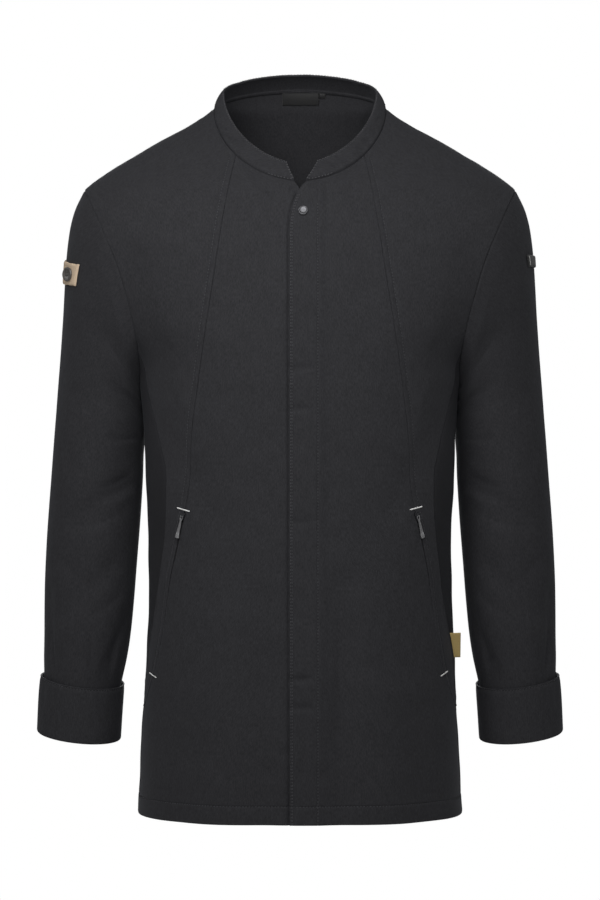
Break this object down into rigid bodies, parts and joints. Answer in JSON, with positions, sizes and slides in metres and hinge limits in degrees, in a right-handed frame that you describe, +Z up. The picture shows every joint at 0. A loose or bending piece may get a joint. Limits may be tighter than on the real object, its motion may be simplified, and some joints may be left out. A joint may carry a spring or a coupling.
{
  "type": "chef jacket",
  "caption": "Long-sleeved chef jacket filled out as worn: stand collar, hidden fly with a snap, princess seams, slanted zip pockets, turned-back cuffs, open hollow body.",
  "frame": {"origin": "middle of the neck, level with the points where the shoulder seams meet the collar, where the wearer's shoulders hold the jacket", "axes": "+Z up to the neck, -Y out of the jacket's front, +X towards the wearer's left"},
  "size_m": [0.5832, 0.2846, 0.8147],
  "materials": {
    "charcoal_twill": "matte heathered twill",
    "dark_side_twill": "matte",
    "black_zip_tape": "matte",
    "brushed_steel": "satin",
    "gunmetal": "satin",
    "tan_canvas": "matte",
    "dark_button": "semi-gloss",
    "black_woven_label": "satin weave",
    "tan_woven_label": "matte"
  },
  "bodies": {
    "jacket": {"front_centre_left": "charcoal_twill", "front_centre_right": "charcoal_twill", "front_side_left": "charcoal_twill", "front_side_right": "charcoal_twill", "side_panel_left": "dark_side_twill", "side_panel_right": "dark_side_twill", "back": "charcoal_twill", "collar": "charcoal_twill", "sleeve_left": "charcoal_twill", "sleeve_right": "charcoal_twill", "cuff_left": "charcoal_twill", "cuff_right": "charcoal_twill", "pocket_zip_left": "black_zip_tape", "pocket_zip_right": "black_zip_tape", "zip_slider_left": "gunmetal", "zip_slider_right": "gunmetal", "snap_cap": "brushed_steel", "sleeve_tab": "tan_canvas", "tab_button": "dark_button", "sleeve_loop": "black_woven_label", "neck_label": "black_woven_label", "size_tab": "black_woven_label", "side_label": "tan_woven_label"},
    "pull_left": {"zip_pull_left": "brushed_steel"},
    "pull_right": {"zip_pull_right": "brushed_steel"}
  },
  "joints": [
    {"name": "pull_left_hinge", "type": "hinge", "parent": "jacket", "child": "pull_left", "pos_m": [0.1262, -0.10141, -0.447], "axis": [-0.7749, -0.5715, -0.27], "range_deg": [0, 150]},
    {"name": "pull_right_hinge", "type": "hinge", "parent": "jacket", "child": "pull_right", "pos_m": [-0.12632, -0.10158, -0.447], "axis": [-0.7749, 0.5714, 0.2702], "range_deg": [0, 150]}
  ]
}
